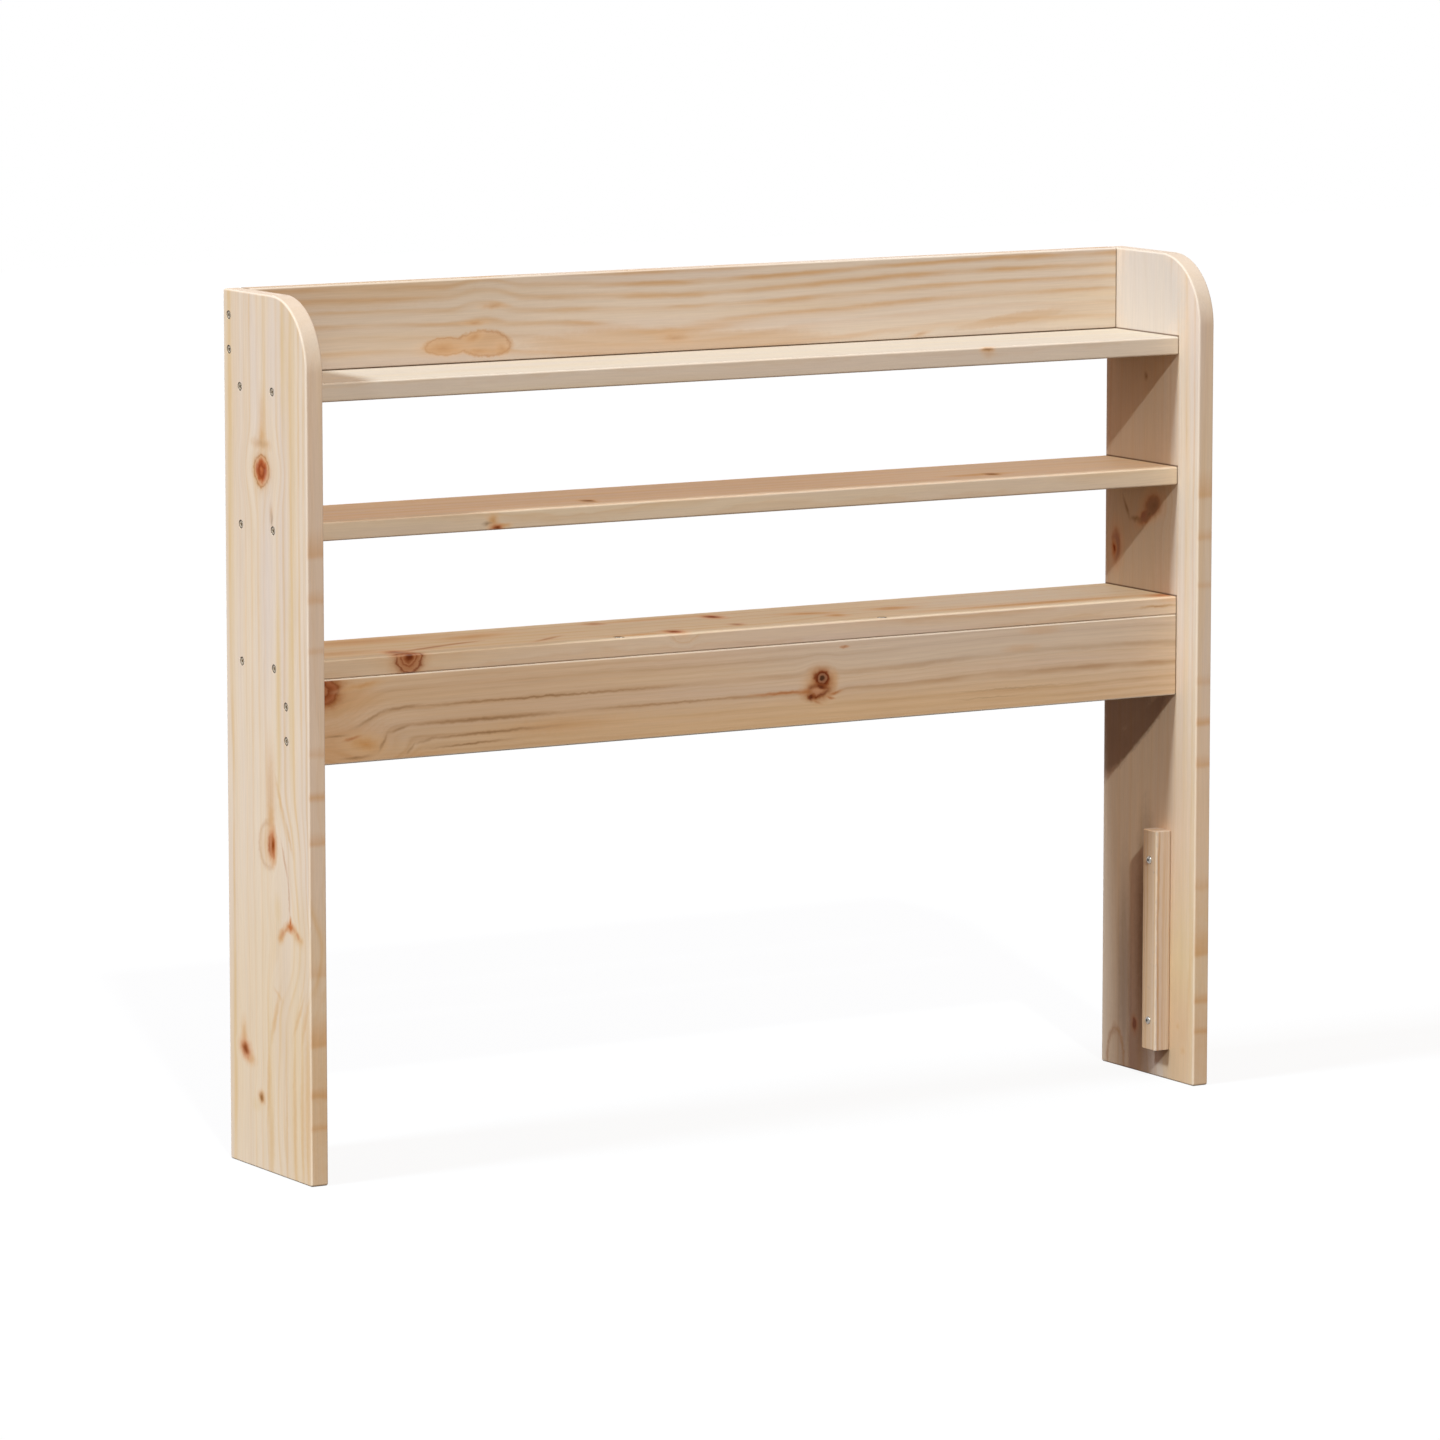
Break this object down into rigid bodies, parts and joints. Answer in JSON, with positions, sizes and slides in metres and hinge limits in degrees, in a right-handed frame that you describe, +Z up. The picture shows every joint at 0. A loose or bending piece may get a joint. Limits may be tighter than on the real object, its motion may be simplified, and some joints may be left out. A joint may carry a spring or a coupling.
{
  "type": "headboard with shelves",
  "caption": "Freestanding solid pine headboard: tall side panels with rounded top front corners carry open shelves, a front rail and an upper back board, with cleats for the bed's head end.",
  "frame": {"origin": "on the floor, under the middle of the headboard's bounding box", "axes": "+X across the bed towards the right-hand panel as seen from the bed, +Y away from the bed towards the wall, +Z up"},
  "size_m": [1.25, 0.204, 1.025],
  "materials": {
    "pine": "planed and sanded, unfinished",
    "zinc_screw": "dull zinc plating",
    "bright_screw": "bright zinc plating"
  },
  "bodies": {
    "root": {"left_side_panel": "pine", "right_side_panel": "pine", "upper_back_board": "pine", "top_shelf": "pine", "middle_shelf": "pine", "bottom_shelf": "pine", "front_rail": "pine", "left_cleat": "pine", "right_cleat": "pine", "left_upper_back_board_screw_1": "zinc_screw", "left_upper_back_board_screw_2": "zinc_screw", "left_top_shelf_screw_1": "zinc_screw", "left_top_shelf_screw_2": "zinc_screw", "left_middle_shelf_screw_1": "zinc_screw", "left_middle_shelf_screw_2": "zinc_screw", "left_bottom_shelf_screw_1": "zinc_screw", "left_bottom_shelf_screw_2": "zinc_screw", "left_front_rail_screw_1": "zinc_screw", "left_front_rail_screw_2": "zinc_screw", "right_upper_back_board_screw_1": "zinc_screw", "right_upper_back_board_screw_2": "zinc_screw", "right_top_shelf_screw_1": "zinc_screw", "right_top_shelf_screw_2": "zinc_screw", "right_middle_shelf_screw_1": "zinc_screw", "right_middle_shelf_screw_2": "zinc_screw", "right_bottom_shelf_screw_1": "zinc_screw", "right_bottom_shelf_screw_2": "zinc_screw", "right_front_rail_screw_1": "zinc_screw", "right_front_rail_screw_2": "zinc_screw", "rail_top_screw_1": "zinc_screw", "rail_top_screw_2": "zinc_screw", "left_cleat_screw_1": "bright_screw", "left_cleat_screw_2": "bright_screw", "right_cleat_screw_1": "bright_screw", "right_cleat_screw_2": "bright_screw"}
  },
  "joints": []
}
